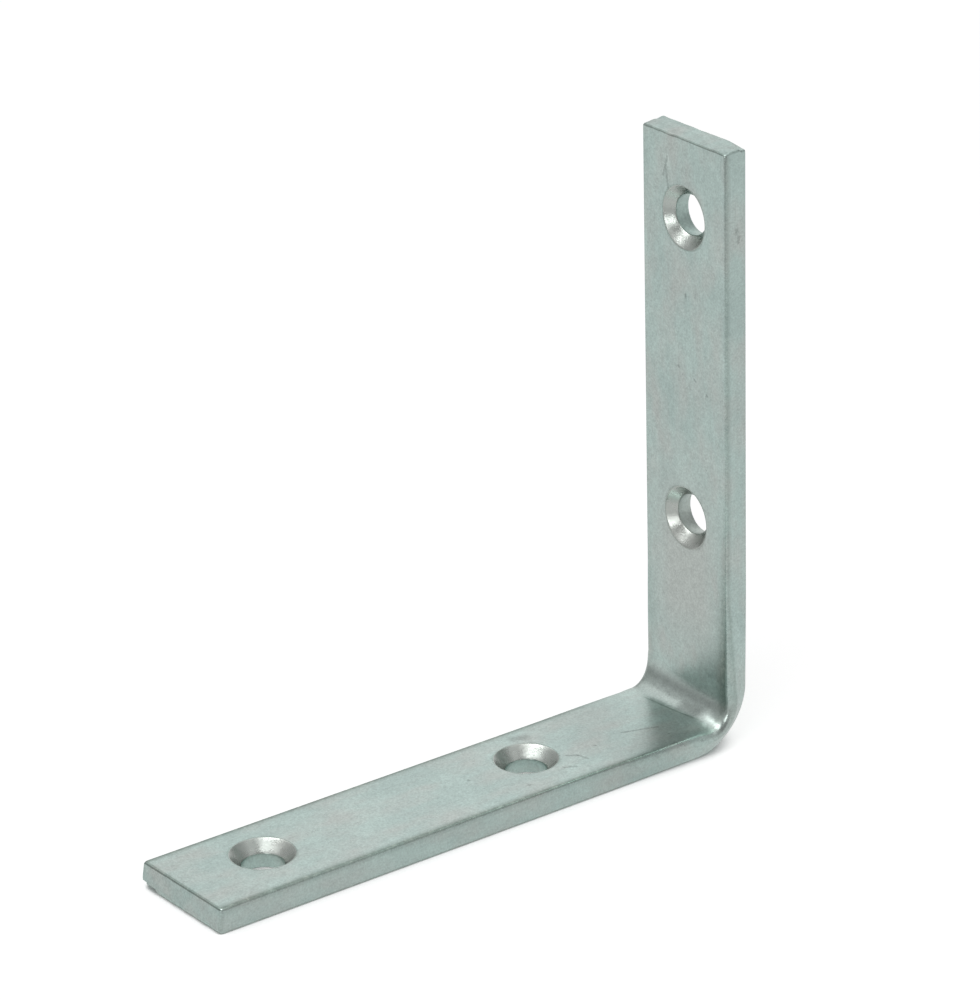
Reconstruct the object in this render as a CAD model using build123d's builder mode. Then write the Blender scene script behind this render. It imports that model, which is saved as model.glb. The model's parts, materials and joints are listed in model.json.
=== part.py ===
"""Corner brace: a flat steel bar bent on the flat into an L, with two countersunk screw holes in each leg.

The origin is the middle of the base leg's footprint, on its underside. The base lies along X and the
upright stands at its +X end, with its back face towards +X.
"""

import math
import os

from build123d import *

# Bar, in millimetres
bar_width = 20.0
bar_thickness = 4.1
bar_edge_radius = 0.4

# Legs, each measured along its outer face from the outside of the bend
base_length = 100.0
upright_length = 99.2

# Sheared ends: how far each is off square across the bar and through its thickness, in degrees, and the
# rounding that the shear leaves. The shear leaves the inner face shorter than the outer
base_cut_angle = 2.3
base_slant_angle = 10.0
upright_cut_angle = -0.9
upright_slant_angle = 6.5
sheared_edge_radius = 0.35

# Bend: the bar thins in it, because its outside is rounder than its inside. The inside edges are pushed
# out sideways and the outside edges are drawn in, and the legs fade back to the plain bar beside it
inner_bend_radius = 4.2
outer_bend_radius = 9.6
shoulder_inner_spread = 0.95
shoulder_outer_spread = -0.3
middle_inner_spread = 1.8
middle_outer_spread = -0.7
bend_edge_radius = 1.1
bend_fade_length = 16.0

# Screw holes, each row measured from its leg's sheared end and from the outside of the bend. The
# countersinks set the rows, and the holes punched through the upright sit a little off their centres
screw_hole_diameter = 6.5
countersink_diameter = 10.1
countersink_angle = 90.0
base_end_to_hole = 15.6
base_corner_to_hole = 35.3
base_row_offset = 0.8
base_punch_offset = 0.0
upright_end_to_hole = 13.2
upright_corner_to_hole = 36.3
upright_row_offset = 0.0
upright_punch_offset = 0.4

# Places that follow from the sizes above
half_thickness = bar_thickness / 2
back_x = base_length / 2
base_end_x = back_x - base_length
bend_start_x = back_x - outer_bend_radius
fade_start_x = bend_start_x - bend_fade_length
fade_end_z = outer_bend_radius + bend_fade_length
shear_allowance = bar_width
bend_sections = 8
bend_middle_share = 0.5


def bar_section(plane, thickness, inner_spread=0.0, outer_spread=0.0, inner_edge_radius=bar_edge_radius):
    """The bar's cross-section, with the inside of the bend along its upper edge."""
    inner_half = bar_width / 2 + inner_spread
    outer_half = bar_width / 2 + outer_spread
    largest_rounding = 0.45 * thickness
    with BuildSketch(plane) as section:
        with BuildLine():
            Polyline(
                (-outer_half, -thickness / 2),
                (outer_half, -thickness / 2),
                (inner_half, thickness / 2),
                (-inner_half, thickness / 2),
                close=True,
            )
        make_face()
        fillet(section.vertices().group_by(Axis.Y)[0], min(bar_edge_radius, largest_rounding))
        fillet(section.vertices().group_by(Axis.Y)[-1], min(inner_edge_radius, largest_rounding))
    return section.sketch


def inside_reach(turn):
    """How far the inside face is from the centre of the outside's arc, this many radians round the bend."""
    leg_reach = outer_bend_radius - bar_thickness
    centre_offset = leg_reach - inner_bend_radius
    nearest = min(turn, math.pi / 2 - turn)
    if math.tan(nearest) * leg_reach <= centre_offset:
        return leg_reach / math.cos(nearest)
    along = centre_offset * (math.sin(turn) + math.cos(turn))
    return along + math.sqrt(along**2 - 2 * centre_offset**2 + inner_bend_radius**2)


def bend_section(share):
    """The cross-section at this share of the bend, from the base at 0 to the upright at 1."""
    turn = share * math.pi / 2
    reach = inside_reach(turn)
    outwards = Vector(math.sin(turn), 0, -math.cos(turn))
    centre = Vector(bend_start_x, 0, outer_bend_radius)
    across = Plane(
        origin=centre + outwards * (reach + outer_bend_radius) / 2,
        x_dir=(0, 1, 0),
        z_dir=Vector(math.cos(turn), 0, math.sin(turn)),
    )
    from_middle = abs(share - bend_middle_share) / bend_middle_share
    inner_spread = middle_inner_spread + (shoulder_inner_spread - middle_inner_spread) * from_middle**2
    outer_spread = middle_outer_spread + (shoulder_outer_spread - middle_outer_spread) * from_middle**2
    return bar_section(across, outer_bend_radius - reach, inner_spread, outer_spread, bend_edge_radius)


with BuildPart() as corner_brace:
    # The outside of the bend is one arc, and the sections are square to it
    sections = [bend_section(k / bend_sections) for k in range(bend_sections + 1)]
    base_shoulder, upright_shoulder = sections[0], sections[-1]
    loft(sections)

    # Beside the bend each leg fades back to the plain bar
    base_section = bar_section(
        Plane(origin=(fade_start_x, 0, half_thickness), x_dir=(0, 1, 0), z_dir=(1, 0, 0)),
        bar_thickness,
    )
    upright_section = bar_section(
        Plane(origin=(back_x - half_thickness, 0, fade_end_z), x_dir=(0, 1, 0), z_dir=(0, 0, 1)),
        bar_thickness,
    )
    loft([base_section, base_shoulder], ruled=True)
    loft([upright_shoulder, upright_section], ruled=True)

    # The legs run on as the plain bar, past their lengths, and are sheared off
    extrude(base_section, amount=base_end_x - fade_start_x - shear_allowance)
    extrude(upright_section, amount=upright_length - fade_end_z + shear_allowance)
    base_end = Plane(
        origin=(base_end_x, 0, 0),
        z_dir=Vector(-1, 0, 0).rotate(Axis.Y, base_slant_angle).rotate(Axis.Z, base_cut_angle),
    )
    upright_end = Plane(
        origin=(back_x, 0, upright_length),
        z_dir=Vector(0, 0, 1).rotate(Axis.Y, -upright_slant_angle).rotate(Axis.X, upright_cut_angle),
    )
    split(bisect_by=base_end, keep=Keep.BOTTOM)
    split(bisect_by=upright_end, keep=Keep.BOTTOM)
    sheared_edges = (
        corner_brace.faces().sort_by(Axis.X)[0].edges() + corner_brace.faces().sort_by(Axis.Z)[-1].edges()
    )
    fillet(sheared_edges, min(sheared_edge_radius, bar_edge_radius))

    # Each leg has one hole near its end and one nearer the bend, countersunk from the inside
    base_pitch = base_length - base_end_to_hole - base_corner_to_hole
    upright_pitch = upright_length - upright_end_to_hole - upright_corner_to_hole
    base_hole_middle = Plane(
        origin=(back_x - base_corner_to_hole - base_pitch / 2, base_row_offset, bar_thickness),
        x_dir=(1, 0, 0),
        z_dir=(0, 0, 1),
    )
    upright_hole_middle = Plane(
        origin=(back_x - bar_thickness, upright_row_offset, upright_corner_to_hole + upright_pitch / 2),
        x_dir=(0, 0, 1),
        z_dir=(-1, 0, 0),
    )
    hole_rows = (
        (base_hole_middle, base_pitch, base_punch_offset),
        (upright_hole_middle, upright_pitch, upright_punch_offset),
    )
    for hole_middle, pitch, punch_offset in hole_rows:
        with Locations(hole_middle):
            with GridLocations(pitch, 0, 2, 1):
                CounterSinkHole(
                    radius=screw_hole_diameter / 2 - punch_offset,
                    counter_sink_radius=countersink_diameter / 2,
                    counter_sink_angle=countersink_angle,
                )
            with Locations((0, punch_offset)):
                with GridLocations(pitch, 0, 2, 1):
                    Hole(radius=screw_hole_diameter / 2)

corner_brace.part.label = "corner_brace"
os.makedirs("parts", exist_ok=True)
export_step(corner_brace.part, "parts/corner_brace.step")
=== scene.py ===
"""Looks of the corner brace: a zinc-plated flat bar, bent on the flat and countersunk from the inside."""
import json
import math

import bmesh
import bpy
import numpy as np
from mathutils import Matrix, Vector, noise


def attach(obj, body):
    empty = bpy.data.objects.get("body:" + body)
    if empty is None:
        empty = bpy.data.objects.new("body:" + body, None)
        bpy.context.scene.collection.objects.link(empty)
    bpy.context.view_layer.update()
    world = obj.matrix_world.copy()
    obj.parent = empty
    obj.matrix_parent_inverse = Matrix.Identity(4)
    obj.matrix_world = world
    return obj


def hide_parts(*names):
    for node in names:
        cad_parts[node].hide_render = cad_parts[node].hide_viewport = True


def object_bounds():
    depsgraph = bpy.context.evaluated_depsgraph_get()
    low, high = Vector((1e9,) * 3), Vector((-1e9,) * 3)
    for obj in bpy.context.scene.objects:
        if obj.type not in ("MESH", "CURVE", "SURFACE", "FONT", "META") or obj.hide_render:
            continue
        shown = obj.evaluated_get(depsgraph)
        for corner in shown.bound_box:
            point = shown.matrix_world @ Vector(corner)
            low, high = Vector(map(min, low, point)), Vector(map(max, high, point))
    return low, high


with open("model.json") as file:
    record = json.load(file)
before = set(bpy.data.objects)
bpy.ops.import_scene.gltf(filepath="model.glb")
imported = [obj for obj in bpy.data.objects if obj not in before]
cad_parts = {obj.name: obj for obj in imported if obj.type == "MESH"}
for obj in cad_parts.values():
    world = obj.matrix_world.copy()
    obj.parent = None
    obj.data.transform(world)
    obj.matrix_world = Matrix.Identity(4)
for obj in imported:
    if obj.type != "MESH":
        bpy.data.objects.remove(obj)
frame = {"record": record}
cad_box = [list(corner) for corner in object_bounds()]

# The bar, in millimetres, and its legs along their outer faces
MM = 0.001
WIDTH = 20.0
THICKNESS = 4.1
EDGE_RADIUS = 0.4
BACK_X = cad_box[1][0] / MM
BASE_LENGTH = 100.0
UPRIGHT_LENGTH = 99.2

# Bend: how far its inside rounding reaches along the base and up the upright, and how far the inside and
# outside edges stand out sideways beside the bend and in its middle. All of it fades out along the legs
INNER_REACH = (3.4, 4.2)
OUTER_RADIUS = 9.6
SHOULDER_SPREAD = (0.95, -0.3)
MIDDLE_SPREAD = (1.8, -0.7)
BEND_EDGE_RADIUS = 1.1
FADE_LENGTH = 16.0

# Inside the bend the face droops to its edges, most at the near one, with a low swelling beside it. The
# droop's place is a share of the bend's length, and the swelling's is millimetres across the bar
NEAR_DROOP = 0.75
FAR_DROOP = 0.15
DROOP_WIDTH = 6.0
LARGEST_DROOP_SHARE = 1.2
DROOP_PLACE = 0.36
DROOP_LENGTH = 3.2
SWELLING = 0.45
SWELLING_PLACE = -6.0
SWELLING_WIDTH = 2.6

# The die leaves a faint crease across the inside of the bend. It starts this far into the bend, lies further
# along the bar at the near side, and fades out before the bar's edges
CREASE_DEPTH = 0.02
CREASE_WIDTH = 0.17
CREASE_START = 3.0
CREASE_LEAN = 0.132
CREASE_MARGIN = 2.5
CREASE_FADE = 3.0

# Sheared ends, as degrees off square across the bar and through it, and how far in the bar follows them
BASE_CUT_ANGLE = 2.3
BASE_SLANT_ANGLE = 10.0
UPRIGHT_CUT_ANGLE = -0.9
UPRIGHT_SLANT_ANGLE = 6.5
SHEAR_REACH = 8.0

# The rounding that the shear leaves, along the bar, at its inner and outer face, what the flanks add to it,
# and how far it may reach into the sheared face
INNER_ROUNDING = {"base": 0.5, "upright": 0.3}
OUTER_ROUNDING = {"base": 0.4, "upright": 0.25}
FLANK_ROUNDING = {"base": 0.45, "upright": 0.15}
LARGEST_INSET = 0.32

# The sheared faces are uneven: how deep, about how many waves a millimetre has across the bar and through it,
# and which slice of the noise they are
SHEAR_WAVE = {"base": 0.05, "upright": 0.12}
WAVES_ACROSS = 0.45
WAVES_THROUGH = 0.8
WAVE_SLICE = 3.0

# The outer part of each sheared face broke off, most at one corner: the base's far one, the upright's near
# one. The shares are of the bar's thickness
FRACTURE_SHARE = {"base": 0.25, "upright": 0.38}
FRACTURE_WAVE = 0.12
FRACTURE_BLEND = 0.06
FRACTURE_DEPTH = {"base": 0.42, "upright": 0.05}
CHIP_DEPTH = {"base": 0.5, "upright": 0.38}
CHIP_SIDE = {"base": 1, "upright": -1}
CHIP_START = 6.2
CHIP_WIDTH = {"base": 1.6, "upright": 3.4}

# Countersinks: the frame gives the bores, and these stand off them across the bar. The bores widen where the
# punch came out, in this share of the thickness
RIM_RADIUS = 5.05
CONE_SLOPE = 1.0
RIM_ROUNDING = 0.12
BORE_ROUNDING = 0.15
BREAKOUT = {"base": 0.0, "upright": 0.25}
BREAKOUT_SHARE = 0.25
PUNCH_OFFSET = {"base": 0.0, "upright": 0.4}

# Dirt and painted shade, from 0 to 1, and less of it on the base's shoulder, by the bend. It sits on the
# inner edges, from their face side to their flank side, on the faces and flanks beside them, on the outer
# edges, and on the rims of the countersinks and of the sheared ends. Part is real dirt, and part is painted
# shade for the dark lines that the rounded edges show by reflection
BASE_EDGE_DIRT_AND_SHADE = (0.9, 0.3)
SHOULDER_EDGE_DIRT_AND_SHADE = 0.12
UPRIGHT_EDGE_DIRT_AND_SHADE = (0.1, 0.4)
OUTER_EDGE_DIRT_AND_SHADE = 0.4
BASE_FACE_DIRT_AND_SHADE = 1.0
SHOULDER_FACE_DIRT_AND_SHADE = 0.15
NEAR_FACE_DIRT_AND_SHADE = 0.85
FAR_FACE_DIRT_AND_SHADE = 0.2
RIM_DIRT_AND_SHADE = 0.55
END_DIRT_AND_SHADE = {"base": 0.6, "upright": 0.4}

# How broad the dirt and painted shade is in millimetres: on the base's face, on the upright's and what it
# gains towards the bend, how far up the upright that reaches, and on the flanks
BASE_DIRT_AND_SHADE_WIDTH = 0.55
UPRIGHT_DIRT_AND_SHADE_WIDTH = 0.4
DIRT_AND_SHADE_WIDTH_GAIN = 1.4
DIRT_AND_SHADE_REACH = 45.0
FLANK_DIRT_AND_SHADE_WIDTH = 0.5

# The sheared ends' rims are worn less, with less dirt and painted shade, at the flanks
FLANK_SPARED = 0.7

# Mesh steps: the cell of the legs, and counts of cells across a hole's patch, round the bend, beside the
# patches, round an edge, across a flank, over a sheared end's rim and over a small rounding. No ring of
# points stands closer to an end than END_CELL, apart from the last
CELL = 0.6
PATCH_CELLS = 22
BEND_CELLS = 80
EDGE_CELLS = 5
CORNER_CELLS = 6
SIDE_CELLS = 12
END_STEPS = 4
ROUNDING_STEPS = 3
END_CELL = 2.6

# Rings of points round a hole, as shares of the way: up to the rim, down the cone, down the bore, and from
# the bore's exit out to the patch's edge
RIM_RINGS = (0.35, 0.65, 0.85)
CONE_RINGS = (0.2, 0.4, 0.6, 0.8)
BORE_RINGS = (0.33, 0.67, 1.0)
EXIT_RINGS = (0.15, 0.35, 0.65)

# Places that follow, along the bar or in the part's frame, and what keeps a division from being by nothing
MID_RADIUS = OUTER_RADIUS - THICKNESS / 2
BEND_START = BACK_X - OUTER_RADIUS
BASE_END = BACK_X - BASE_LENGTH
STRAIGHT = BEND_START - BASE_END
BEND_LENGTH = MID_RADIUS * math.pi / 2
BEND_END = STRAIGHT + BEND_LENGTH
TOTAL = BEND_END + UPRIGHT_LENGTH - OUTER_RADIUS
PATCH = CELL * PATCH_CELLS / 2
LEAST_COSINE = 0.1


def ease(t):
    """Goes from 0 to 1 with t, and is level at both ends."""
    t = np.clip(t, 0.0, 1.0)
    return t * t * (3 - 2 * t)


def mixed(first, second, share):
    """The value at this share of the way from the first to the second."""
    return first + (second - first) * share


def slope(degrees):
    """The rise in each millimetre at this angle."""
    return math.tan(math.radians(degrees))


def turned(u):
    """The angle round the bend at each place along the bar."""
    return np.clip((u - STRAIGHT) / MID_RADIUS, 0.0, math.pi / 2)


def past_bend(u):
    """0 on the base and 1 on the upright, changing in the bend."""
    return ease((u - STRAIGHT) / BEND_LENGTH)


def by_bend(u):
    """1 from the bend on, fading to 0 along the base."""
    return ease(1 - np.maximum(STRAIGHT - u, 0.0) / FADE_LENGTH)


def thickness_at(u):
    """The bar's thickness, which is less in the bend, where the inside is tighter than the outside."""
    sine, cosine = np.sin(turned(u)), np.cos(turned(u))
    leg_reach = OUTER_RADIUS - THICKNESS
    along, up = INNER_REACH
    centre_along, centre_up = leg_reach - along, leg_reach - up
    square = (sine / along) ** 2 + (cosine / up) ** 2
    half = centre_along * sine / along**2 + centre_up * cosine / up**2
    rest = (centre_along / along) ** 2 + (centre_up / up) ** 2 - 1
    reach = (half + np.sqrt(half**2 - square * rest)) / square
    on_base = sine * leg_reach <= centre_along * cosine
    on_upright = cosine * leg_reach <= centre_up * sine
    reach = np.where(on_base, leg_reach / np.maximum(cosine, LEAST_COSINE), reach)
    reach = np.where(on_upright, leg_reach / np.maximum(sine, LEAST_COSINE), reach)
    return OUTER_RADIUS - reach


def bend_spread(u, beside_bend, in_middle):
    """How far an edge stands out sideways: it grows beside the bend and changes on to the bend's middle."""
    from_bend = np.maximum(np.maximum(STRAIGHT - u, u - BEND_END), 0.0)
    beside = np.clip(1 - from_bend / FADE_LENGTH, 0.0, 1.0)
    from_middle = np.clip(abs(u - STRAIGHT - BEND_LENGTH / 2) / (BEND_LENGTH / 2), 0.0, 1.0)
    return beside * (in_middle + (beside_bend - in_middle) * from_middle**2)


def into_space(u, y, w):
    """From places along and across the bar and above its outer face to millimetres in the part's frame."""
    turn = turned(u)
    reach = OUTER_RADIUS - w
    x = BEND_START + np.minimum(u - STRAIGHT, 0.0) + reach * np.sin(turn)
    z = OUTER_RADIUS - reach * np.cos(turn) + np.maximum(u - BEND_END, 0.0)
    return np.stack([x, y, z], axis=-1)


def find_holes(mounts):
    """The countersunk holes in order, as places along and across the bar."""
    holes = []
    for mount in mounts:
        if mount["kind"] != "bore":
            continue
        x, y, z = (c / MM for c in mount["pos_m"])
        leg = "base" if abs(mount["axis"][2]) > 0.5 else "upright"
        along = x - BASE_END if leg == "base" else BEND_END + z - OUTER_RADIUS
        middle_y = y - PUNCH_OFFSET[leg]
        holes.append({"leg": leg, "u": along, "y": middle_y, "bore_y": y, "r": mount["dims"]["r_mm"]})
    return sorted(holes, key=lambda hole: hole["u"])


def stations(holes):
    """Places along the bar where it has a ring of points."""
    knots = [0.0]
    for hole in holes[:2]:
        knots += [hole["u"] - PATCH, hole["u"] + PATCH]
    knots += [STRAIGHT - FADE_LENGTH, STRAIGHT, BEND_END, BEND_END + FADE_LENGTH]
    for hole in holes[2:]:
        knots += [hole["u"] - PATCH, hole["u"] + PATCH]
    knots += [TOTAL]
    places = [np.array([0.0])]
    for start, end in zip(knots, knots[1:]):
        cells = BEND_CELLS if start == STRAIGHT else max(1, round((end - start) / CELL))
        places.append(np.linspace(start, end, cells + 1)[1:])
    places = np.concatenate(places)
    clear = (places > END_CELL) & (places < TOTAL - END_CELL)
    return np.concatenate([[0.0], places[clear], [TOTAL]])


def row_shift(u, holes):
    """How far the hole rows stand off the bar's middle, fading from one to the other round the bend."""
    turn = ease((u - STRAIGHT + FADE_LENGTH) / (BEND_LENGTH + 2 * FADE_LENGTH))
    return holes[0]["y"] * (1 - turn) + holes[-1]["y"] * turn


def edge_arc(half, lean, thickness, radius, at_top):
    """Middle and first and last angle of the rounding between a flank and the inner or outer face."""
    way_y, way_w = thickness / np.hypot(thickness, lean), lean / np.hypot(thickness, lean)
    flank_angle = np.arctan2(way_w, way_y)
    if at_top:
        return half + (-radius + radius * way_w) / way_y, thickness - radius, math.pi / 2, flank_angle
    return half + (-radius - radius * way_w) / way_y, radius, flank_angle, -math.pi / 2


def edge_dirt_and_shade(u, share):
    """How much dirt and painted shade an inner edge has, from its face side at share 0 to its flank side at
    share 1.
    """
    base = mixed(mixed(*BASE_EDGE_DIRT_AND_SHADE, share), SHOULDER_EDGE_DIRT_AND_SHADE, by_bend(u))
    return mixed(base, mixed(*UPRIGHT_EDGE_DIRT_AND_SHADE, share), past_bend(u))


def face_dirt_and_shade(u, from_edge, near):
    """How much dirt and painted shade the inner face has this far from its edge: broadest at the near one,
    above the bend.
    """
    up = past_bend(u)
    above = ease(1 - (u - BEND_END) / DIRT_AND_SHADE_REACH)
    base = mixed(BASE_FACE_DIRT_AND_SHADE, SHOULDER_FACE_DIRT_AND_SHADE, by_bend(u))
    upright = (NEAR_FACE_DIRT_AND_SHADE if near else FAR_FACE_DIRT_AND_SHADE) * above
    width = mixed(BASE_DIRT_AND_SHADE_WIDTH, UPRIGHT_DIRT_AND_SHADE_WIDTH + DIRT_AND_SHADE_WIDTH_GAIN * above**2, up)
    return mixed(base, upright, up) * np.exp(-((from_edge / width) ** 2))


def ring_of_points(u, holes):
    """The bar's section at every station, and how many columns its faces have.

    Gives the points and their outward directions, and how far each is on an edge and how much dirt and
    painted shade it has.
    """
    thickness = thickness_at(u)
    inner_half = WIDTH / 2 + bend_spread(u, SHOULDER_SPREAD[0], MIDDLE_SPREAD[0])
    outer_half = WIDTH / 2 + bend_spread(u, SHOULDER_SPREAD[1], MIDDLE_SPREAD[1])
    added_radius = BEND_EDGE_RADIUS - EDGE_RADIUS
    inner_radius = EDGE_RADIUS + bend_spread(u, added_radius, added_radius)
    outer_radius = np.full_like(u, EDGE_RADIUS)
    lean = outer_half - inner_half
    inner_arc = edge_arc(inner_half, lean, thickness, inner_radius, True)
    outer_arc = edge_arc(outer_half, lean, thickness, outer_radius, False)
    flat_half = WIDTH / 2 - EDGE_RADIUS
    beside_patch = np.linspace(0, flat_half - PATCH, EDGE_CELLS + 1)[1:]
    in_patch = np.linspace(-PATCH, PATCH, PATCH_CELLS + 1)
    columns = np.concatenate([-PATCH - beside_patch[::-1], in_patch, PATCH + beside_patch]) / flat_half
    shift = row_shift(u, holes)
    points, ways, on_edge, dirt_and_shade_rows = [], [], [], []

    def put(y, w, way_y, way_w, edge=0.0, dirt=0.0):
        """One line of points along the bar."""
        points.append(np.stack([y + 0 * u, w + 0 * u], axis=-1))
        ways.append(np.stack([way_y + 0 * u, way_w + 0 * u], axis=-1))
        on_edge.append(edge + 0 * u)
        dirt_and_shade_rows.append(dirt + 0 * u)

    def face(room, level, share, way):
        """One line of points on the inner or the outer face."""
        # Dirt and painted shade near the inner face's edges
        dirt = face_dirt_and_shade(u, room * (1 - abs(share)), share < 0) if way > 0 else 0.0
        put(share * room + shift * (1 - abs(share)), level, 0.0, way, dirt=dirt)

    def corner(side, arc, radius, downwards):
        """The lines of points on one rounded edge."""
        middle, level, first, last = arc
        shares = np.arange(1, CORNER_CELLS) / CORNER_CELLS
        for share in shares if downwards else shares[::-1]:
            angle = first + (last - first) * share
            way_y, way_w = side * np.cos(angle), np.sin(angle)
            # Dirt and painted shade on the rounded edges
            dirt = edge_dirt_and_shade(u, share) if arc is inner_arc else OUTER_EDGE_DIRT_AND_SHADE
            y, w = side * middle + radius * way_y, level + radius * way_w
            put(y, w, way_y, way_w, EDGE_RADIUS / radius, dirt)

    def flank(side, downwards):
        """The lines of points on one flank."""
        angle = inner_arc[3]
        start = inner_arc[0] + inner_radius * np.cos(angle), inner_arc[1] + inner_radius * np.sin(angle)
        end = outer_arc[0] + outer_radius * np.cos(angle), outer_arc[1] + outer_radius * np.sin(angle)
        shares = np.linspace(0, 1, SIDE_CELLS + 1)
        for share in shares if downwards else shares[::-1]:
            y, w = mixed(start[0], end[0], share), mixed(start[1], end[1], share)
            # Dirt and painted shade on the flank, beside the inner edge
            dirt = edge_dirt_and_shade(u, 1.0) * np.exp(-((share * THICKNESS / FLANK_DIRT_AND_SHADE_WIDTH) ** 2))
            put(side * y, w, side * np.cos(angle), np.sin(angle), dirt=dirt)

    for share in columns:
        face(inner_arc[0], thickness, share, 1.0)
    corner(1, inner_arc, inner_radius, True)
    flank(1, True)
    corner(1, outer_arc, outer_radius, True)
    for share in columns[::-1]:
        face(outer_arc[0], 0.0, share, -1.0)
    corner(-1, outer_arc, outer_radius, False)
    flank(-1, False)
    corner(-1, inner_arc, inner_radius, False)
    rows = (np.stack(row, axis=1) for row in (points, ways, on_edge, dirt_and_shade_rows))
    return *rows, len(columns)


def crease(u, y, w):
    """How far a place is in the crease, from 0 to 1, and always 0 in the outer half of the thickness."""
    line = u - STRAIGHT - CREASE_START - CREASE_LEAN * (-y)
    across = ease((WIDTH / 2 - CREASE_MARGIN - abs(y)) / CREASE_FADE)
    inner_side = ease(w / THICKNESS * 4 - 2)
    return np.exp(-(line / CREASE_WIDTH) ** 2) * across * inner_side


def droop_share(to_edge):
    """How much of an edge's droop a place has, by how far it is outwards of that edge's line."""
    return np.clip((to_edge + DROOP_WIDTH) / DROOP_WIDTH, 0.0, LARGEST_DROOP_SHARE) ** 2


def dressed(u, y, w):
    """Takes the droop of the inner face to the bend's edges, and the crease, off the height."""
    place = STRAIGHT + DROOP_PLACE * BEND_LENGTH
    beside = np.exp(-((u - place) / DROOP_LENGTH) ** 2)
    edge = WIDTH / 2 + MIDDLE_SPREAD[0]
    swelling = SWELLING * np.exp(-((y - SWELLING_PLACE) / SWELLING_WIDTH) ** 2)
    lowered = droop_share(-y - edge) * NEAR_DROOP + droop_share(y - edge) * FAR_DROOP - swelling
    return w - beside * lowered * (w / THICKNESS) ** 2 - CREASE_DEPTH * crease(u, y, w)


def fracture(leg, y, w):
    """How far the sheared face is set back from its plane."""
    wave = np.array([
        noise.noise(Vector((WAVES_ACROSS * a, WAVES_THROUGH * b, WAVE_SLICE))) for a, b in zip(y, w)
    ])
    broken = ease((FRACTURE_SHARE[leg] + FRACTURE_WAVE * wave - w / THICKNESS) / FRACTURE_BLEND)
    chip = ease((CHIP_SIDE[leg] * y - CHIP_START) / CHIP_WIDTH[leg]) * CHIP_DEPTH[leg]
    return broken * (FRACTURE_DEPTH[leg] + chip) + SHEAR_WAVE[leg] * (1 + wave)


def shear(u, y, w):
    """Slides the ends to their cuts."""
    near_base = np.clip(1 - u / SHEAR_REACH, 0.0, 1.0)
    near_top = np.clip(1 - (TOTAL - u) / SHEAR_REACH, 0.0, 1.0)
    base_slide = w * slope(BASE_SLANT_ANGLE) - y * slope(BASE_CUT_ANGLE)
    top_slide = y * slope(UPRIGHT_CUT_ANGLE) - w * slope(UPRIGHT_SLANT_ANGLE)
    return u + near_base * base_slide + near_top * top_slide


class Skin:
    """Collects points along, across and through the bar, their marks, and the faces between them."""

    MARKS = ("cone", "bore", "sheared", "edge", "dirt")

    def __init__(self):
        self.blocks = []
        self.marks = {name: [] for name in self.MARKS}
        self.faces = []
        self.count = 0

    def add(self, points, **marks):
        """Adds points of shape (..., 3) and returns their numbers in the same shape."""
        flat = points.reshape(-1, 3)
        self.blocks.append(flat)
        for name in self.MARKS:
            value = np.broadcast_to(marks.get(name, 0.0), points.shape[:-1]).reshape(-1)
            self.marks[name].append(value)
        numbers = np.arange(self.count, self.count + len(flat)).reshape(points.shape[:-1])
        self.count += len(flat)
        return numbers

    def strip(self, first, second, closed=True):
        """Faces between two rows of points."""
        if closed:
            first, second = np.append(first, first[0]), np.append(second, second[0])
        self.faces += np.stack([first[:-1], first[1:], second[1:], second[:-1]], axis=-1).tolist()

    def points(self):
        """All the points so far, by their numbers."""
        return np.concatenate(self.blocks)


def block_loop(numbers, rows, columns):
    """The numbers round a block of cells of a grid, one after the other."""
    (i0, i1), (j0, j1) = rows, columns
    return np.concatenate([
        numbers[i0:i1, j0], numbers[i1, j0:j1], numbers[i1:i0:-1, j1], numbers[i0, j1:j0:-1]
    ])


def rounded(before, corner, after):
    """Points that round a corner between two points."""
    shares = np.linspace(0, 1, ROUNDING_STEPS + 1)
    return [before * (1 - t) ** 2 + corner * 2 * t * (1 - t) + after * t * t for t in shares]


def toward(start, end, distance):
    """The points at this distance from start on the way to end."""
    way = end - start
    return start + way * (distance / np.linalg.norm(way, axis=-1, keepdims=True))


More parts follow.
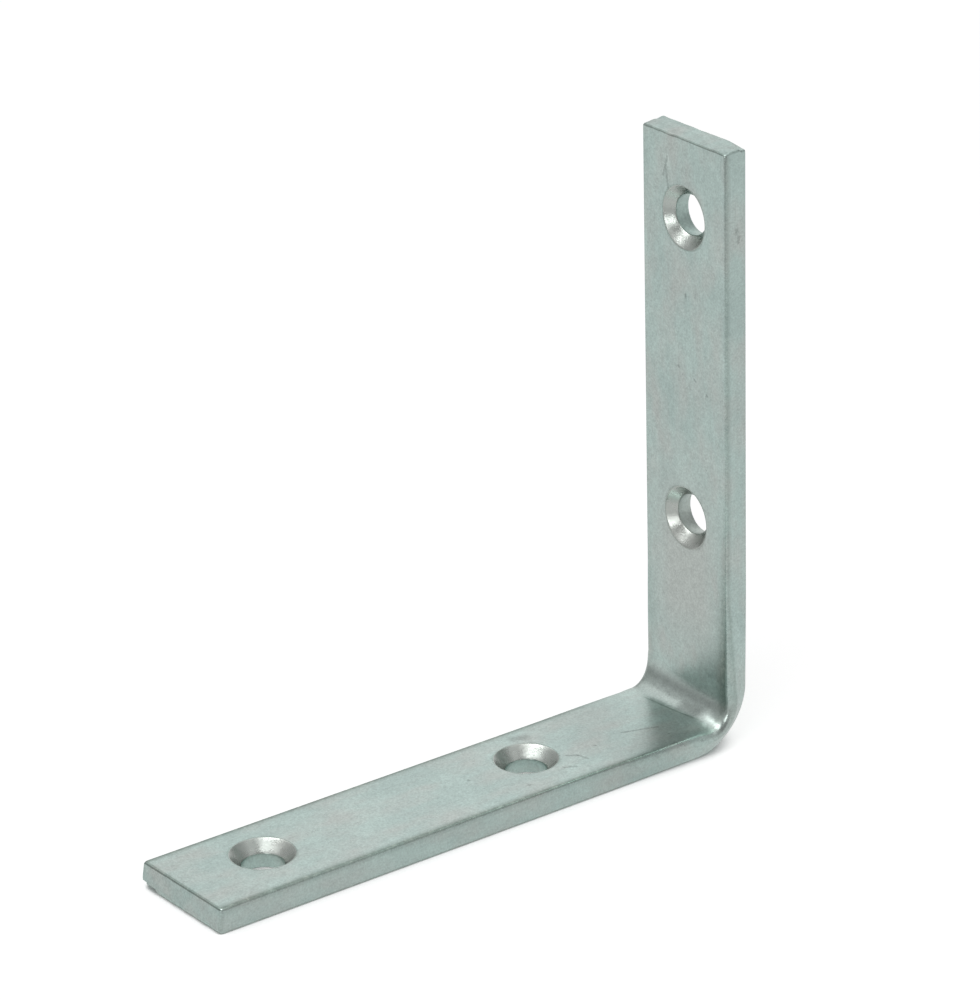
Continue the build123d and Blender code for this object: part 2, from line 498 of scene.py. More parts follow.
def cut_hole(skin, hole, inner_loop, outer_loop):
    """One countersunk hole, from the loop round it in the inner face to the loop in the outer face."""
    points = skin.points()
    inner, outer = points[inner_loop], points[outer_loop]
    angle = np.arctan2(inner[:, 1] - hole["y"], inner[:, 0] - hole["u"])
    way = np.stack([np.cos(angle), np.sin(angle), 0 * angle], axis=-1)
    middle = np.array([hole["u"], hole["y"], THICKNESS])
    bore_middle = np.array([hole["u"], hole["bore_y"], 0.0])
    rim = middle + RIM_RADIUS * way
    wall = bore_middle + hole["r"] * way
    breakout = wall.copy()
    breakout[:, 2] = THICKNESS * BREAKOUT_SHARE
    from_middle = np.linalg.norm((wall - middle)[:, :2], axis=-1)
    entry = wall.copy()
    entry[:, 2] = THICKNESS - (RIM_RADIUS - from_middle) * CONE_SLOPE
    leaving = bore_middle + (hole["r"] + BREAKOUT[hole["leg"]]) * way

    rings = [(mixed(inner, rim, t), {}) for t in RIM_RINGS]
    curve = rounded(toward(rim, inner, RIM_ROUNDING), rim, toward(rim, entry, RIM_ROUNDING))
    # The rim's rounding gets dirt and painted shade
    for ring, on_cone in zip(curve, (0.0, 0.5, 1.0, 1.0)):
        rings.append((ring, {"edge": 1.0, "dirt": RIM_DIRT_AND_SHADE, "cone": on_cone}))
    cone_start, cone_end = curve[-1], toward(entry, rim, BORE_ROUNDING)
    rings += [(mixed(cone_start, cone_end, t), {"cone": 1.0}) for t in CONE_RINGS]
    curve = rounded(cone_end, entry, toward(entry, breakout, BORE_ROUNDING))
    for ring, in_bore in zip(curve, (0.0, 0.0, 0.5, 1.0)):
        rings.append((ring, {"cone": 1 - in_bore, "bore": in_bore, "edge": 1.0}))
    rings += [(mixed(curve[-1], breakout, t), {"bore": 1.0}) for t in BORE_RINGS]
    curve = rounded(toward(leaving, breakout, BORE_ROUNDING), leaving, toward(leaving, outer, BORE_ROUNDING))
    rings += [(ring, {"bore": 1.0, "edge": 1.0}) for ring in curve]
    rings += [(mixed(curve[-1], outer, t), {}) for t in EXIT_RINGS]
    last = inner_loop
    for ring, marks in rings:
        numbers = skin.add(ring, **marks)
        skin.strip(last, numbers)
        last = numbers
    skin.strip(last, outer_loop)


def end_rounding(leg, ways, ring):
    """How far the rounding of a sheared end's edge reaches along the bar: further on the flanks."""
    to_inner = (INNER_ROUNDING[leg] - OUTER_ROUNDING[leg]) * ring[:, 1] / THICKNESS
    return OUTER_ROUNDING[leg] + to_inner + FLANK_ROUNDING[leg] * abs(ways[:, 0])


def end_ring(leg, ways, ring, u, outwards):
    """Where the rounding of a sheared end starts: further in on the flanks."""
    return u - outwards * (end_rounding(leg, ways, ring) + fracture(leg, *ring.T))


def close_end(skin, leg, u, outwards, ring, ways, last, columns):
    """The sheared face at one end: a rounded edge, largest at the inner face, and an uneven flat."""
    largest_inset = np.minimum(end_rounding(leg, ways, ring), LARGEST_INSET)[:, None]
    recess = fracture(leg, *(ring - ways * largest_inset).T)[:, None]
    edge_of_flat = u - outwards * recess
    start = skin.points()[last, 0][:, None]
    # Wear, dirt and painted shade on the end's rim, less at the flanks
    worn_and_shaded = 1 - FLANK_SPARED * abs(ways[:, 0])
    for k in range(1, END_STEPS + 1):
        angle = math.pi / 2 * k / END_STEPS
        inset = ring - ways * largest_inset * (1 - math.cos(angle))
        place = mixed(start, edge_of_flat, math.sin(angle))
        points = np.concatenate([place, inset], axis=-1)
        numbers = skin.add(points, sheared=k / END_STEPS, edge=worn_and_shaded, dirt=worn_and_shaded * END_DIRT_AND_SHADE[leg])
        skin.strip(last, numbers)
        last = numbers

    # The flat's rows lie across the bar at the levels of the flanks' points
    side = 2 * CORNER_CELLS + SIDE_CELLS
    inner_row = last[:columns]
    plus_side = last[columns - 1:columns + side]
    outer_row = last[columns + side - 1:2 * columns + side - 1][::-1]
    minus_side = np.append(last[2 * columns + side - 2:], last[0])[::-1]
    points = skin.points()
    levels = points[plus_side][:, 2]
    rows = [inner_row]
    for level in levels[1:-1]:
        share = (levels[0] - level) / (levels[0] - levels[-1])
        across = mixed(points[inner_row], points[outer_row], share)
        across[:, 0] = u - outwards * fracture(leg, across[:, 1], across[:, 2])
        rows.append(skin.add(across, sheared=1.0))
    rows.append(outer_row)
    for first, second in zip(rows, rows[1:]):
        skin.strip(first, second, closed=False)
    row_ends = [row[-1] for row in rows], [row[0] for row in rows]
    for edge_row, own in zip((plus_side, minus_side), row_ends):
        for k in range(side):
            face = [edge_row[k], edge_row[k + 1], own[k + 1], own[k]]
            skin.faces.append(list(dict.fromkeys(int(number) for number in face)))


def brace_skin(holes):
    """The bar's whole skin: its faces and flanks, the holes and the sheared ends."""
    skin = Skin()
    u = stations(holes)
    ring, ways, on_edge, dirt, columns = ring_of_points(u, holes)
    count = ring.shape[1]
    points = np.concatenate([np.repeat(u[:, None, None], count, axis=1), ring], axis=-1)
    points[0, :, 0] = end_ring("base", ways[0], ring[0], 0.0, -1.0)
    points[-1, :, 0] = end_ring("upright", ways[-1], ring[-1], TOTAL, 1.0)
    numbers = skin.add(points, edge=on_edge, dirt=dirt)

    inner = numbers[:, :columns]
    first_outer = columns + 2 * (CORNER_CELLS - 1) + SIDE_CELLS + 1
    outer = numbers[:, first_outer:first_outer + columns][:, ::-1]
    open_cells = np.zeros((len(u) - 1, count), bool)
    patch_columns = (EDGE_CELLS, EDGE_CELLS + PATCH_CELLS)
    outer_patch = first_outer + columns - 1 - patch_columns[1]
    loops = []
    for hole in holes:
        start = int(np.argmin(abs(u - hole["u"] + PATCH)))
        rows = (start, start + PATCH_CELLS)
        open_cells[rows[0]:rows[1], patch_columns[0]:patch_columns[1]] = True
        open_cells[rows[0]:rows[1], outer_patch:outer_patch + PATCH_CELLS] = True
        loops.append((hole, block_loop(inner, rows, patch_columns), block_loop(outer, rows, patch_columns)))
    following = np.roll(numbers, -1, axis=1)
    cells = np.stack([numbers[:-1], following[:-1], following[1:], numbers[1:]], axis=-1)
    skin.faces += cells[~open_cells].tolist()
    for loop in loops:
        cut_hole(skin, *loop)
    close_end(skin, "base", 0.0, -1.0, ring[0], ways[0], numbers[0], columns)
    close_end(skin, "upright", TOTAL, 1.0, ring[-1], ways[-1], numbers[-1], columns)
    return skin


def brace_mesh(skin):
    """The skin as a mesh in metres, with its marks, its crease and its places along the bar as attributes."""
    plain = skin.points()
    along = plain.copy()
    along[:, 2] = dressed(*along.T)
    along[:, 0] = shear(*along.T)
    mesh = bpy.data.meshes.new("brace")
    mesh.from_pydata((into_space(*along.T) * MM).tolist(), [], skin.faces)
    marks = {name: np.concatenate(values) for name, values in skin.marks.items()}
    marks["crease"] = crease(*plain.T)
    for name, values in marks.items():
        attribute = mesh.attributes.new(name, "FLOAT", "POINT")
        attribute.data.foreach_set("value", values.astype(np.float32))
    attribute = mesh.attributes.new("along", "FLOAT_VECTOR", "POINT")
    attribute.data.foreach_set("vector", along.astype(np.float32).ravel())
    shape = bmesh.new()
    shape.from_mesh(mesh)
    bmesh.ops.recalc_face_normals(shape, faces=shape.faces)
    shape.to_mesh(mesh)
    shape.free()
    mesh.shade_smooth()
    return mesh


class Nodes:
    """Adds nodes to a material or world, and links or sets their inputs."""

    def __init__(self, tree):
        self.tree = tree

    def add(self, kind, settings=None, **inputs):
        """Adds a node with these settings and inputs, named with _ for a space."""
        made = self.tree.nodes.new(kind)
        for name, value in (settings or {}).items():
            setattr(made, name, value)
        for name, value in inputs.items():
            self.give(made.inputs[name.replace("_", " ")], value)
        return made

    def give(self, socket, value):
        """Links a socket to an output, or sets its value."""
        if isinstance(value, bpy.types.NodeSocket):
            self.tree.links.new(value, socket)
        else:
            socket.default_value = value

    def math(self, operation, *values):
        """One step of arithmetic."""
        made = self.add("ShaderNodeMath", {"operation": operation})
        for socket, value in zip(made.inputs, values):
            self.give(socket, value)
        return made.outputs[0]

    def product(self, *values):
        """The product of all these values."""
        total = values[0]
        for value in values[1:]:
            total = self.math("MULTIPLY", total, value)
        return total

    def mix(self, share, first, second, kind="RGBA", blend="MIX"):
        """A mix of two colours, or of two numbers where kind is FLOAT."""
        made = self.add("ShaderNodeMix", {"data_type": kind})
        if kind == "RGBA":
            made.blend_type = blend
        pair = [s for s in made.inputs if s.enabled and s.name in ("A", "B")]
        self.give(made.inputs[0], share)
        for socket, value in zip(pair, (first, second)):
            self.give(socket, value)
        return next(s for s in made.outputs if s.enabled)

    def tinted(self, share, colour, tint):
        """A colour that is multiplied by the tint, as far as share says."""
        return self.mix(share, colour, self.mix(1.0, colour, tint, blend="MULTIPLY"))

    def vector(self, operation, *values):
        """One step of vector arithmetic."""
        made = self.add("ShaderNodeVectorMath", {"operation": operation})
        for socket, value in zip(made.inputs, values):
            self.give(socket, value)
        return made.outputs["Value" if operation in ("DOT_PRODUCT", "LENGTH") else "Vector"]

    def scaled(self, vector, scale):
        """A vector times a number."""
        made = self.add("ShaderNodeVectorMath", {"operation": "SCALE"}, Scale=scale)
        self.give(made.inputs[0], vector)
        return made.outputs[0]

    def attribute(self, name, output="Fac"):
        """One of the mesh's attributes."""
        return self.add("ShaderNodeAttribute", {"attribute_name": name}).outputs[output]

    def noise(self, place, stretch, scale, detail, roughness):
        """Noise at a place, with the place's three measures stretched first."""
        vector = self.vector("MULTIPLY", place, stretch)
        inputs = {"Vector": vector, "Scale": scale, "Detail": detail, "Roughness": roughness}
        return self.add("ShaderNodeTexNoise", **inputs).outputs[0]

    def ramp(self, value, low, high, to_low=0.0, to_high=1.0, kind="LINEAR"):
        """A value that goes from to_low to to_high while the given one goes from low to high."""
        inputs = {"From_Min": low, "From_Max": high, "To_Min": to_low, "To_Max": to_high}
        return self.add("ShaderNodeMapRange", {"interpolation_type": kind}, Value=value, **inputs).outputs[0]

    def distance(self, value, middle):
        """How far a value is from this number."""
        return self.math("ABSOLUTE", self.math("SUBTRACT", value, middle))


# The plate's colours: its clouds from deep to pale, and where it looks warmer
PLATE_PALE = (0.440, 0.540, 0.510, 1.0)
PLATE_DEEP = (0.390, 0.485, 0.460, 1.0)
PLATE_WARM = (0.445, 0.475, 0.452, 1.0)

# What is multiplied onto them in dirt and painted shade and in its pale beads, in bores, on sheared faces
# and, as painted shade, in the crease, and the colour of the cones, which the plate's clouds hardly reach
EDGE_SHADE = (0.44, 0.47, 0.44, 1.0)
BEAD_SHADE = (0.72, 0.72, 0.67, 1.0)
BORE_SHADE = (0.90, 0.92, 0.91, 1.0)
SHEARED_SHADE = (0.93, 0.93, 0.93, 1.0)
CREASE_SHADE = (0.55, 0.60, 0.57, 1.0)
CONE_TINT = (0.430, 0.450, 0.425, 1.0)
CONE_TINT_SHARE = 0.8

# Noise textures, as the stretch along, across and through the bar, the scale, the detail and the roughness
TEXTURES = {
    "clouds": ((0.6, 1.0, 1.0), 0.16, 3.0, 0.55),
    "warmth": ((0.5, 1.0, 1.0), 0.22, 3.0, 0.5),
    "mottle": ((1.0, 1.0, 1.0), 0.9, 4.0, 0.65),
    "grain": ((1.0, 1.0, 1.0), 3.0, 3.0, 0.7),
    "streaks": ((0.08, 2.0, 2.0), 1.0, 3.0, 0.65),
    "beads": ((1.0, 1.0, 1.0), 1.3, 3.0, 0.6),
}

# Ramps from here on are (low, high, value at low, value at high). These say how much of a texture counts
CLOUD_RAMP = (0.35, 0.65, 0.0, 1.0)
WARMTH_RAMP = (0.42, 0.70, 0.0, 0.75)
MOTTLE_RAMP = (0.3, 0.7, 0.91, 1.07)
STREAK_RAMP = (0.3, 0.7, -0.02, 0.02)
GRAIN_RAMP = (0.3, 0.7, -0.16, 0.16)
BEAD_RAMP = (0.5, 0.72, 0.0, 1.0)

# Warm places: a patch low on the upright, by the distance along the bar and from its middle, and the bend
WARM_PATCH_PLACE = 120.0
WARM_PATCH_ALONG = (6.0, 20.0, 0.85, 0.0)
WARM_PATCH_ACROSS = (4.0, 10.0, 1.0, 0.0)
WARM_BEND_PLACE = 97.0
WARM_BEND_ALONG = (2.0, 6.0, 0.5, 0.0)

# Painted shade: on the base before the bend, on the base's flanks, fading towards the bend, and in a band on
# the inner face near the bend's end
BASE_SHADE_PLACE = 80.0
BASE_SHADE_RAMP = (3.0, 12.0, 0.91, 1.0)
BASE_FLANK_SHADE = 0.93
BASE_FLANK_ACROSS = (9.8, 10.0, 0.0, 1.0)
BASE_FLANK_ALONG = (70.0, 95.0, 1.0, 0.0)
SHADE_BAND_PLACE = BEND_END - 3.85
SHADE_BAND_RAMP = (0.2, 1.7, 0.70, 1.0)

# Where the inner face is, by the height above the outer one, and the near flank, by the place across
INNER_FACE_RAMP = (2.6, 3.4, 0.0, 1.0)
NEAR_FLANK_RAMP = (-9.9, -9.8, 1.0, 0.0)

# Marks of use on the inner face, and one place of painted shade at the bend, as places along and across the
# bar from one end of the mark to the other in millimetres, the mark's half width, and what it does to the
# plate's colour
FACE_MARKS_AND_SHADE = (
    ("smudge", (66.9, 7.4), (68.9, 6.7), 0.95, 0.72),
    # Painted shade on the inside of the bend at its near side, not a mark of use
    ("painted shade at the bend", (95.0, -1.2), (95.6, -4.8), 1.3, 0.64),
    ("scratch before the bend", (81.7, -1.6), (87.2, -3.5), 0.24, 0.70),
    ("scuff, first half", (70.1, -2.4), (71.6, -3.4), 0.30, 0.70),
    ("scuff, second half", (71.6, -3.4), (72.1, -5.2), 0.26, 0.74),
    ("scuff beside it", (67.4, -5.3), (69.1, -6.3), 0.30, 0.74),
    ("speck at the scuff", (75.6, -2.4), (75.7, -2.5), 0.27, 0.63),
    ("speck in the middle", (53.4, 0.4), (53.5, 0.3), 0.27, 0.66),
    ("speck near the edge", (59.7, -6.6), (59.9, -6.7), 0.27, 0.68),
    ("pit above the middle", (165.9, -0.3), (166.3, -0.4), 0.29, 0.66),
    ("pit below the middle", (154.0, 1.5), (153.9, 1.4), 0.25, 0.68),
    ("pit beside it", (152.9, -2.4), (152.8, -2.5), 0.25, 0.66),
    ("pit near the edge", (151.3, -5.3), (151.2, -5.4), 0.27, 0.66),
    ("streak at the top, one side", (187.8, 3.8), (183.6, 2.6), 0.22, 1.1),
    ("streak at the top, other side", (187.4, 3.9), (184.2, 4.9), 0.25, 0.76),
    ("streak at the top, low", (185.6, 4.3), (181.2, 3.4), 0.27, 0.78),
)

# The same on the near flank, here painted shade of two small dents, as places along the bar and above its
# outer face
FLANK_MARKS = (
    ("dent, upper", (178.6, 2.0), (179.1, 1.8), 0.32, 0.74),
    ("dent, lower", (177.1, 1.6), (177.9, 1.5), 0.34, 0.72),
)

# The two of the bar's measures along, across and through that each list of marks gives, how much the grain
# roughens a mark's outline, and where the outline starts and ends as shares of the half width
FACE_AXES = (0, 1)
FLANK_AXES = (0, 2)
ROUGH_OUTLINE = (0.3, 0.7, -0.1, 0.1)
MARK_CORE = 0.3
MARK_RIM = 1.3

# Roughness of the plate and of the cones by the mottle, and of bores, sheared faces and worn edges
PLATE_ROUGHNESS = (0.3, 0.7, 0.27, 0.37)
CONE_ROUGHNESS = (0.3, 0.7, 0.22, 0.36)
BORE_ROUGHNESS = 0.38
SHEARED_ROUGHNESS = 0.42
EDGE_ROUGHNESS = 0.24

# Fine relief of draw lines and grain in equal shares: its strength on the plate and on the cones, and its
# height in metres
GRAIN_SHARE = 0.5
PLATE_RELIEF = 0.08
CONE_RELIEF = 0.45
RELIEF_HEIGHT = 0.0001


def on_axes(pair, axes):
    """A vector with these two measures on these two axes."""
    vector = Vector((0.0, 0.0, 0.0))
    for axis, measure in zip(axes, pair):
        vector[axis] = measure
    return vector


def mark_shade(nodes, place, grain, start, end, half_width, shade):
    """What one mark does to the colour: its shade on the line from start to end, and 1 away from it."""
    way = end - start
    from_start = nodes.vector("SUBTRACT", place, start)
    share = nodes.math("DIVIDE", nodes.vector("DOT_PRODUCT", from_start, way), way.length_squared)
    share = nodes.math("MINIMUM", nodes.math("MAXIMUM", share, 0.0), 1.0)
    distance = nodes.vector("LENGTH", nodes.vector("SUBTRACT", from_start, nodes.scaled(way, share)))
    distance = nodes.math("ADD", distance, nodes.ramp(grain, *ROUGH_OUTLINE))
    return nodes.ramp(distance, half_width * MARK_CORE, half_width * MARK_RIM, shade, 1.0)


def marks_shade(nodes, along, grain, marks, axes):
    """What a list of marks does to the colour."""
    place = nodes.vector("MULTIPLY", along, on_axes((1.0, 1.0), axes))
    shades = []
    for _name, start, end, half_width, shade in marks:
        ends = on_axes(start, axes), on_axes(end, axes)
        shades.append(mark_shade(nodes, place, grain, *ends, half_width, shade))
    return nodes.product(*shades)


def plate_colour(nodes, textures, place_along, from_middle):
    """The plate's clouds, and its warmer places."""
    colour = nodes.mix(nodes.ramp(textures["clouds"], *CLOUD_RAMP), PLATE_DEEP, PLATE_PALE)
    patch = nodes.product(
        nodes.ramp(nodes.distance(place_along, WARM_PATCH_PLACE), *WARM_PATCH_ALONG),
        nodes.ramp(from_middle, *WARM_PATCH_ACROSS),
    )
    bend = nodes.ramp(nodes.distance(place_along, WARM_BEND_PLACE), *WARM_BEND_ALONG)
    warm = nodes.math("MAXIMUM", patch, bend)
    warm = nodes.math("MAXIMUM", nodes.ramp(textures["warmth"], *WARMTH_RAMP), warm)
    return nodes.mix(warm, colour, PLATE_WARM)


def plate_shade(nodes, textures, along, place, from_middle):
    """What mottle, draw lines, grain, painted shade and marks of use do to the plate's colour."""
    grain = textures["grain"]
    shade = nodes.math(
        "ADD", nodes.ramp(textures["mottle"], *MOTTLE_RAMP), nodes.ramp(textures["streaks"], *STREAK_RAMP)
    )
    shade = nodes.math("ADD", shade, nodes.ramp(grain, *GRAIN_RAMP))
    # Painted shade on the base before the bend
    base_shade = nodes.ramp(nodes.distance(place["X"], BASE_SHADE_PLACE), *BASE_SHADE_RAMP)
    # Painted shade on the base's flanks, fading towards the bend
    on_flank = nodes.product(
        nodes.ramp(from_middle, *BASE_FLANK_ACROSS), nodes.ramp(place["X"], *BASE_FLANK_ALONG)
    )
    flank = nodes.mix(on_flank, 1.0, BASE_FLANK_SHADE, "FLOAT")
    inner_face = nodes.ramp(place["Z"], *INNER_FACE_RAMP)
    near_flank = nodes.ramp(place["Y"], *NEAR_FLANK_RAMP)
    # A band of painted shade on the inner face near the bend's end
    shade_band = nodes.ramp(nodes.distance(place["X"], SHADE_BAND_PLACE), *SHADE_BAND_RAMP)
    # Marks of use on the inner face, and painted shade at the bend
    face_marks_and_shade = marks_shade(nodes, along, grain, FACE_MARKS_AND_SHADE, FACE_AXES)
    # Painted shade of two small dents on the near flank
    dent_shades = marks_shade(nodes, along, grain, FLANK_MARKS, FLANK_AXES)
    parts = ((inner_face, face_marks_and_shade), (inner_face, shade_band), (near_flank, dent_shades))
    return nodes.product(shade, base_shade, flank, *(nodes.mix(share, 1.0, part, "FLOAT") for share, part in parts))


def worn_and_shaded_colour(nodes, textures, marks, flat, colour):
    """The colour with the cones, bores, sheared faces and the crease's painted shade on it, and the dirt and
    painted shade with pale beads.
    """
    colour = nodes.mix(nodes.product(marks["cone"], CONE_TINT_SHARE), colour, CONE_TINT)
    # The crease's darker colour is painted shade
    for name, shade in (("bore", BORE_SHADE), ("sheared", SHEARED_SHADE), ("crease", CREASE_SHADE)):
        colour = nodes.tinted(marks[name], colour, shade)
    # Dirt and painted shade along the edges, less dark in pale beads
    bead = nodes.ramp(textures["beads"], *BEAD_RAMP)
    return nodes.tinted(nodes.product(marks["dirt"], flat), colour, nodes.mix(bead, EDGE_SHADE, BEAD_SHADE))


def plate_roughness(nodes, textures, marks, flat):
    """How rough the plate is, and its cones, bores, sheared faces and worn edges."""
    rough = nodes.ramp(textures["mottle"], *PLATE_ROUGHNESS)
    rough = nodes.mix(marks["cone"], rough, nodes.ramp(textures["mottle"], *CONE_ROUGHNESS), "FLOAT")
    rough = nodes.mix(marks["bore"], rough, BORE_ROUGHNESS, "FLOAT")
    rough = nodes.mix(marks["sheared"], rough, SHEARED_ROUGHNESS, "FLOAT")
    return nodes.mix(nodes.product(marks["edge"], flat), rough, EDGE_ROUGHNESS, "FLOAT")


def zinc_plate():
    """Satin zinc with a faint blue-green cast, cloudy, with fine lengthwise draw lines, and painted shade at
    its edges, by the bend and in the crease.
    """
    material = bpy.data.materials.new("zinc_plate")
    material.use_nodes = True
    nodes = Nodes(material.node_tree)
    shader = material.node_tree.nodes["Principled BSDF"]
    along = nodes.attribute("along", "Vector")
    marks = {name: nodes.attribute(name) for name in (*Skin.MARKS, "crease")}
    textures = {name: nodes.noise(along, *values) for name, values in TEXTURES.items()}
    place = nodes.add("ShaderNodeSeparateXYZ", Vector=along).outputs
    from_middle = nodes.math("ABSOLUTE", place["Y"])
    flat = nodes.math("SUBTRACT", 1.0, nodes.math("MAXIMUM", marks["cone"], marks["bore"]))

    colour = plate_colour(nodes, textures, place["X"], from_middle)
    colour = nodes.scaled(colour, plate_shade(nodes, textures, along, place, from_middle))
    nodes.give(shader.inputs["Base Color"], worn_and_shaded_colour(nodes, textures, marks, flat, colour))
    nodes.give(shader.inputs["Metallic"], 1.0)
    nodes.give(shader.inputs["Roughness"], plate_roughness(nodes, textures, marks, flat))

    relief = nodes.mix(GRAIN_SHARE, textures["streaks"], textures["grain"], "FLOAT")
    strength = nodes.mix(marks["cone"], PLATE_RELIEF, CONE_RELIEF, "FLOAT")
    bump = nodes.add("ShaderNodeBump", Strength=strength, Distance=RELIEF_HEIGHT, Height=relief)
    nodes.give(shader.inputs["Normal"], bump.outputs[0])
    return material


def add_brace():
    """The brace, in the place of the CAD's one solid."""
    holes = find_holes(frame["record"]["mounts"])
    piece = bpy.data.objects.new("brace", brace_mesh(brace_skin(holes)))
    bpy.context.scene.collection.objects.link(piece)
    weighted = piece.modifiers.new("weighted", "WEIGHTED_NORMAL")
    weighted.weight = 100
    piece.data.materials.append(zinc_plate())
    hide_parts("corner_brace")
    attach(piece, "root")


# Floor, in metres. It glows for the camera where nothing shades it, so that it stays white, and for the
# metal, which sees it darker at the front left
FLOOR_RADIUS = 3.0
FLOOR_SEGMENTS = 128
FLOOR_DROP = 0.00002
FLOOR_COLOUR = (0.82, 0.82, 0.82, 1.0)
FLOOR_GLOW = 0.66
FLOOR_IN_METAL = 0.53
FLOOR_SHADE_REACH = 0.008
FLOOR_SHADE_SAMPLES = 8
FLOOR_SHADE_RAMP = (0.36, 0.56, 0.0, 1.0)
FRONT_LEFT = (-0.81, -0.58, 0.0)
FRONT_LEFT_RAMP = (0.11, 0.2, 1.0, 0.35)

# The room's brightness for what lights the floor and for the metal, and its darker places as the metal sees
# them: the direction from the brace, the cosine of the angle off it where the place starts and where it is
# full, and the share of the light that is left there
WHITE = (1.0, 1.0, 1.0, 1.0)
AMBIENT = 0.38
ROOM = 1.12
DARK_PLACES = (
    ("camera side", (-0.58, -0.80, 0.15), 0.2, 0.8, 0.35),
    ("behind left", (-0.59, 0.74, 0.25), 0.80, 0.965, 0.51),
    ("behind", (0.12, 0.93, 0.30), 0.90, 0.97, 0.55),
    ("right", (0.88, -0.25, 0.40), 0.70, 0.95, 0.45),
)

# Softboxes, as the direction from the place that they aim at, the distance, the size, the brightness at
# their face, and whether they light the floor too
SOFTBOX_AIM = (0.02, 0.0, 0.03)
SOFTBOXES = (
    ("left", (-0.845, -0.475, 0.24), 0.8, (0.26, 0.30), 4.5, False),
    ("overhead", (-0.36, -0.22, 0.90), 0.9, (0.45, 0.36), 2.2, True),
    ("behind", (-0.36, 0.20, 0.91), 0.9, (0.38, 0.36), 4.5, False),
)

# The camera, in metres and radians, and its lens by the photo's longer side in pixels
CAMERA_AZIMUTH = math.radians(35.743)
CAMERA_ELEVATION = math.radians(24.046)
CAMERA_ROLL = math.radians(-1.475)
CAMERA_DISTANCE = 0.71567
CAMERA_SLIDE = (-0.009472, 0.006087)
CAMERA_TARGET = Vector((0.02, 0.0, 0.04))
CAMERA_CLIP = (0.01, 20.0)
FOCAL_PIXELS = 4703.8
PHOTO_HEIGHT = 1000
SENSOR = 36.0


def seen_by_metal(nodes, path):
    """1 for rays that a surface reflects or lets through, and 0 for the others."""
    return nodes.math("MAXIMUM", path["Is Glossy Ray"], path["Is Transmission Ray"])


def floor_material():
    """A pale floor that stays white where nothing shades it, and is darker to metal at the front left."""
    material = bpy.data.materials.new("floor")
    material.use_nodes = True
    tree = material.node_tree
    nodes = Nodes(tree)
    tree.nodes.remove(tree.nodes["Principled BSDF"])
    path = nodes.add("ShaderNodeLightPath").outputs
    place = nodes.add("ShaderNodeTexCoord").outputs["Object"]
    in_metal = nodes.ramp(nodes.vector("DOT_PRODUCT", place, FRONT_LEFT), *FRONT_LEFT_RAMP)
    in_metal = nodes.product(in_metal, FLOOR_IN_METAL)
    shaded = nodes.add(
        "ShaderNodeAmbientOcclusion", {"samples": FLOOR_SHADE_SAMPLES}, Distance=FLOOR_SHADE_REACH
    ).outputs["AO"]
    white = nodes.product(nodes.ramp(shaded, *FLOOR_SHADE_RAMP), FLOOR_GLOW)
    to_camera = nodes.product(path["Is Camera Ray"], white)
    glow = nodes.mix(seen_by_metal(nodes, path), to_camera, in_metal, "FLOAT")
    diffuse = nodes.add("ShaderNodeBsdfDiffuse", Color=FLOOR_COLOUR)
    emission = nodes.add("ShaderNodeEmission", Strength=glow)
    total = nodes.add("ShaderNodeAddShader")
    nodes.give(total.inputs[0], diffuse.outputs[0])
    nodes.give(total.inputs[1], emission.outputs[0])
    nodes.give(tree.nodes["Material Output"].inputs["Surface"], total.outputs[0])
    return material


def add_floor():
    """The round floor under the brace."""
    shape = bmesh.new()
    bmesh.ops.create_circle(shape, cap_ends=True, segments=FLOOR_SEGMENTS, radius=FLOOR_RADIUS)
    mesh = bpy.data.meshes.new("floor")
    shape.to_mesh(mesh)
    shape.free()
    mesh.materials.append(floor_material())
    floor = bpy.data.objects.new("floor", mesh)
    bpy.context.scene.collection.objects.link(floor)
    floor.location.z = -FLOOR_DROP


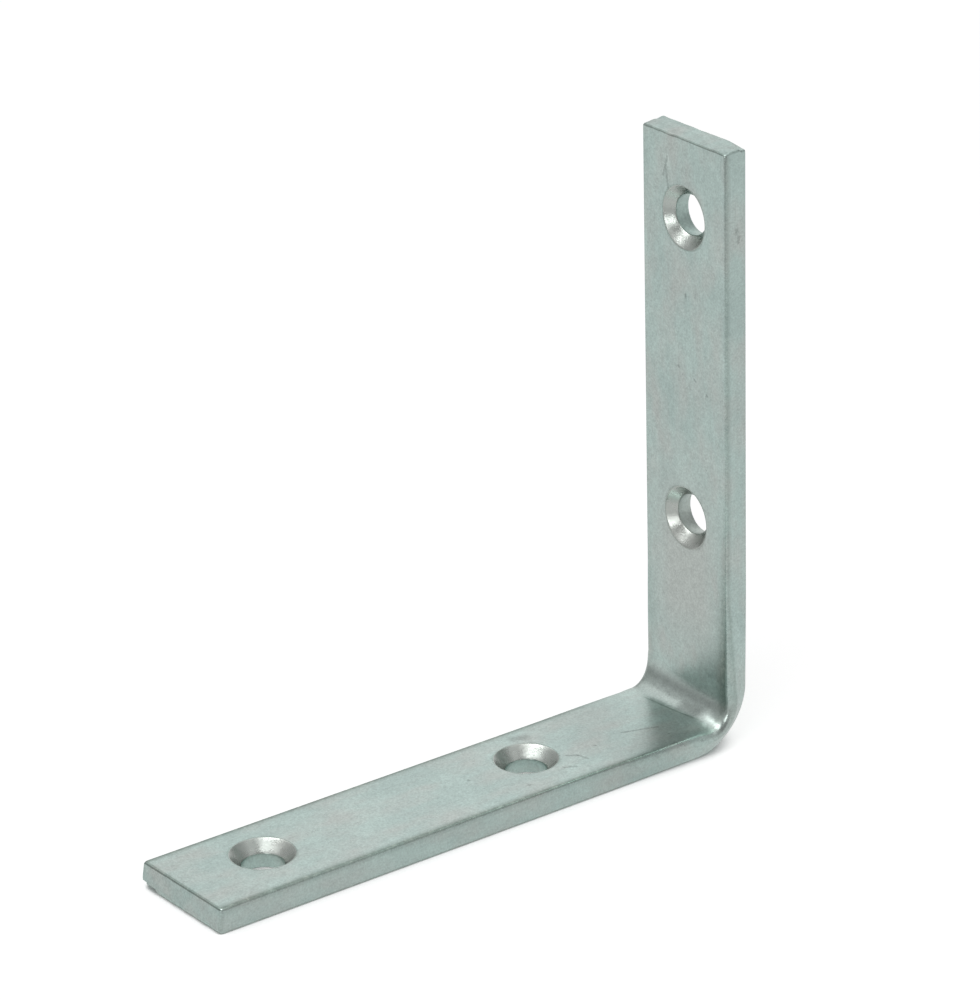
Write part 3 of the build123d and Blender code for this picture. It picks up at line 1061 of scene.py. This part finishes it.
def add_world():
    """White to the camera, and to metal a white room with softly darker places."""
    world = bpy.data.worlds.new("studio")
    world.use_nodes = True
    nodes = Nodes(world.node_tree)
    way = nodes.add("ShaderNodeTexCoord").outputs["Generated"]
    room = ROOM
    for _name, direction, rim, core, left in DARK_PLACES:
        cosine = nodes.vector("DOT_PRODUCT", way, Vector(direction).normalized())
        room = nodes.product(room, nodes.ramp(cosine, rim, core, 1.0, left, "SMOOTHSTEP"))
    path = nodes.add("ShaderNodeLightPath").outputs
    strength = nodes.mix(seen_by_metal(nodes, path), AMBIENT, room, "FLOAT")
    strength = nodes.mix(path["Is Camera Ray"], strength, 1.0, "FLOAT")
    background = world.node_tree.nodes["Background"]
    nodes.give(background.inputs["Color"], WHITE)
    nodes.give(background.inputs["Strength"], strength)
    bpy.context.scene.world = world


def add_softbox(name, way, distance, size, radiance, lights_floor):
    """A softbox seen from the brace in this direction, with this brightness at its face."""
    lamp = bpy.data.lights.new(name, "AREA")
    lamp.shape = "RECTANGLE"
    lamp.size, lamp.size_y = size
    lamp.energy = radiance * math.pi * size[0] * size[1]
    box = bpy.data.objects.new(name, lamp)
    bpy.context.scene.collection.objects.link(box)
    away = Vector(way).normalized()
    box.location = Vector(SOFTBOX_AIM) + away * distance
    box.rotation_euler = away.to_track_quat("Z", "Y").to_euler()
    box.visible_diffuse = lights_floor


def add_camera():
    """The camera stands where the photograph was taken from."""
    az, el, roll = CAMERA_AZIMUTH, CAMERA_ELEVATION, CAMERA_ROLL
    forward = Vector((math.sin(az) * math.cos(el), math.cos(az) * math.cos(el), -math.sin(el)))
    level = Vector((math.cos(az), -math.sin(az), 0.0))
    upward = level.cross(forward)
    right = level * math.cos(roll) + upward * math.sin(roll)
    up = upward * math.cos(roll) - level * math.sin(roll)
    place = CAMERA_TARGET - forward * CAMERA_DISTANCE + right * CAMERA_SLIDE[0] + up * CAMERA_SLIDE[1]
    camera = bpy.data.cameras.new("camera")
    camera.sensor_width = SENSOR
    camera.lens = FOCAL_PIXELS * SENSOR / PHOTO_HEIGHT
    camera.clip_start, camera.clip_end = CAMERA_CLIP
    view = bpy.data.objects.new("camera", camera)
    facing = Matrix((right, up, -forward)).transposed().to_4x4()
    view.matrix_world = Matrix.Translation(place) @ facing
    bpy.context.scene.collection.objects.link(view)
    bpy.context.scene.camera = view


add_brace()
add_floor()
add_world()
for softbox in SOFTBOXES:
    add_softbox(*softbox)
add_camera()
bpy.context.scene.view_settings.view_transform = "Standard"
